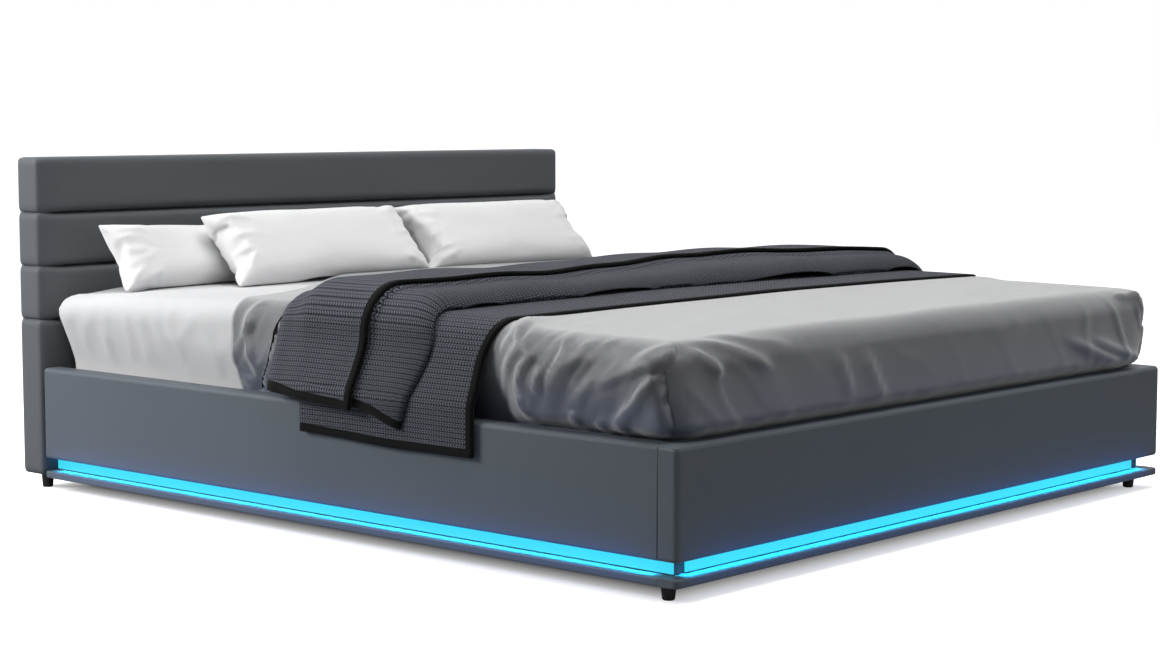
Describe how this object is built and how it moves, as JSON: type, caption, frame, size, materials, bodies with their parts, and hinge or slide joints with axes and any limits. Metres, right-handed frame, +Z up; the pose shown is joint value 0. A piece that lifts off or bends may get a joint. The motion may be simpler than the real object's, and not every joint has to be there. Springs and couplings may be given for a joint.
{
  "type": "leather storage bed",
  "caption": "Low leather storage bed with a lit recessed plinth, banded headboard, lift-up slatted platform on gas struts, mattress and full bedding.",
  "frame": {"origin": "middle of the bed's footprint, on the floor", "axes": "+Y from the foot end to the headboard, +X to the right as seen from the foot end, +Z up"},
  "size_m": [1.9932, 2.172, 0.8425],
  "materials": {
    "leather": "smooth, satin",
    "board": "raw particle board",
    "riser": "satin",
    "led_light": "frosted, lit from within",
    "black_plastic": "fine grain",
    "backing_cloth": "non-woven cloth",
    "steel_paint": "black powder coat",
    "zinc": "zinc plated",
    "chrome": "polished",
    "birch": "clear lacquer",
    "hardboard": "smooth",
    "ticking": "woven ticking",
    "white_cotton": "plain woven cotton",
    "grey_satin": "satin weave",
    "dark_knit": "chunky knit with bound edges"
  },
  "bodies": {
    "bed_base": {"headboard_core": "board", "headboard_back_cloth": "backing_cloth", "headboard_band_1": "leather", "headboard_band_2": "leather", "headboard_band_3": "leather", "headboard_band_4": "leather", "side_rail_left_cover": "leather", "side_rail_left_board": "board", "riser_left": "riser", "led_strip_left": "led_light", "plinth_left": "leather", "foot_front_left": "black_plastic", "foot_rear_left": "black_plastic", "corner_angle_front_left": "zinc", "corner_angle_rear_left": "zinc", "lift_bracket_left": "steel_paint", "ledge_left": "birch", "side_rail_right_cover": "leather", "side_rail_right_board": "board", "riser_right": "riser", "led_strip_right": "led_light", "plinth_right": "leather", "foot_front_right": "black_plastic", "foot_rear_right": "black_plastic", "corner_angle_front_right": "zinc", "corner_angle_rear_right": "zinc", "lift_bracket_right": "steel_paint", "ledge_right": "birch", "foot_rail_cover": "leather", "foot_rail_board": "board", "riser_foot": "riser", "led_strip_foot": "led_light", "plinth_foot": "leather", "foot_centre_front": "black_plastic", "foot_centre_rear": "black_plastic", "centre_beam": "steel_paint", "storage_floor_front": "hardboard", "storage_floor_rear": "hardboard", "led_controller": "black_plastic"},
    "lift_arms": {"lift_arm_left": "steel_paint", "lift_arm_right": "steel_paint"},
    "lift_links": {"lift_link_left": "steel_paint", "lift_link_right": "steel_paint"},
    "gas_cylinders": {"gas_cylinder_left": "steel_paint", "gas_cylinder_right": "steel_paint"},
    "gas_rods": {"gas_rod_left": "chrome", "gas_rod_right": "chrome"},
    "platform": {"platform_bracket_left": "steel_paint", "platform_bracket_right": "steel_paint", "platform_frame": "steel_paint", "slats_left": "birch", "slats_right": "birch", "mattress": "ticking", "fitted_sheet": "white_cotton", "duvet": "grey_satin", "throw": "dark_knit", "pillow_back_left": "white_cotton", "pillow_front_left": "white_cotton", "pillow_front_right": "white_cotton", "pillow_back_right": "white_cotton"}
  },
  "joints": [
    {"name": "platform_lift", "type": "hinge", "parent": "bed_base", "child": "lift_arms", "pos_m": [0, 0.243, 0.157], "axis": [1, 0, 0], "range_deg": [0, 52.86]},
    {"name": "link_swing", "type": "hinge", "parent": "bed_base", "child": "lift_links", "pos_m": [0, 0.001, 0.1], "axis": [1, 0, 0], "range_deg": [0, 44.51]},
    {"name": "platform_tilt", "type": "hinge", "parent": "lift_arms", "child": "platform", "pos_m": [0, 0.669, 0.2392], "axis": [-1, 0, 0], "range_deg": [0, 84.58]},
    {"name": "strut_swing", "type": "hinge", "parent": "bed_base", "child": "gas_cylinders", "pos_m": [0, 0.2571, 0.1061], "axis": [1, 0, 0], "range_deg": [0, 9.37]},
    {"name": "rod_swing", "type": "hinge", "parent": "lift_links", "child": "gas_rods", "pos_m": [0, 0.0085, 0.2159], "axis": [-1, 0, 0], "range_deg": [0, 35.15]}
  ],
  "couplings": [
    {"joint": "link_swing", "follows": "platform_lift", "ratio": 0.842},
    {"joint": "platform_tilt", "follows": "platform_lift", "ratio": 1.6},
    {"joint": "strut_swing", "follows": "platform_lift", "ratio": 0.17716},
    {"joint": "rod_swing", "follows": "platform_lift", "ratio": 0.66484}
  ]
}
